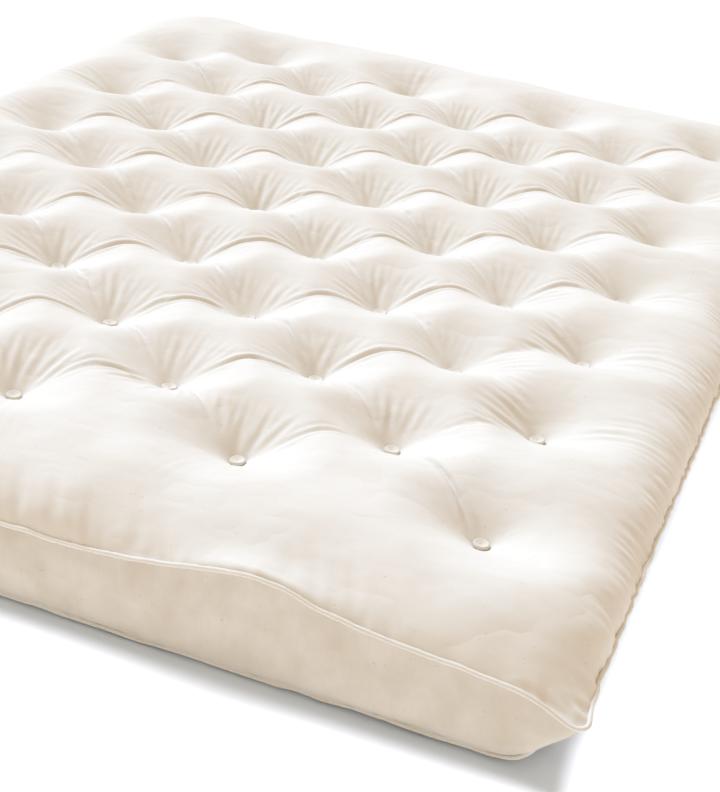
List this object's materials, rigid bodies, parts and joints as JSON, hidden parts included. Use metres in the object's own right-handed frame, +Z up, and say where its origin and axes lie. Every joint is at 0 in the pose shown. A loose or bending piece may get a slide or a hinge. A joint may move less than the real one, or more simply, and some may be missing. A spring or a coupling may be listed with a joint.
{
  "type": "futon mattress",
  "caption": "Full-size futon mattress: boxed cotton case with welted seams, filled with layers of batting and drawn together by staggered rows of button tufts.",
  "frame": {"origin": "centre of the underside, on the surface that the mattress lies on", "axes": "+X across the width, +Y along the length from the foot to the head, +Z up through the thickness"},
  "size_m": [1.372, 1.905, 0.15],
  "materials": {
    "ticking": "unbleached woven cotton ticking",
    "welt": "rolled seam in the same cotton",
    "batting": "loose felted cotton fibre",
    "button": "cotton-covered button",
    "twine": "waxed flax tufting twine"
  },
  "bodies": {
    "root": {"top_panel": "ticking", "bottom_panel": "ticking", "boxing_foot": "ticking", "boxing_head": "ticking", "boxing_left": "ticking", "boxing_right": "ticking", "top_welt": "welt", "bottom_welt": "welt", "batting_layer_1": "batting", "batting_layer_2": "batting", "batting_layer_3": "batting", "batting_layer_4": "batting", "batting_layer_5": "batting", "batting_layer_6": "batting", "top_buttons_row_1": "button", "top_buttons_row_2": "button", "top_buttons_row_3": "button", "top_buttons_row_4": "button", "top_buttons_row_5": "button", "top_buttons_row_6": "button", "top_buttons_row_7": "button", "top_buttons_row_8": "button", "bottom_buttons_row_1": "button", "bottom_buttons_row_2": "button", "bottom_buttons_row_3": "button", "bottom_buttons_row_4": "button", "bottom_buttons_row_5": "button", "bottom_buttons_row_6": "button", "bottom_buttons_row_7": "button", "bottom_buttons_row_8": "button", "tuft_twine_row_1": "twine", "tuft_twine_row_2": "twine", "tuft_twine_row_3": "twine", "tuft_twine_row_4": "twine", "tuft_twine_row_5": "twine", "tuft_twine_row_6": "twine", "tuft_twine_row_7": "twine", "tuft_twine_row_8": "twine"}
  },
  "joints": []
}
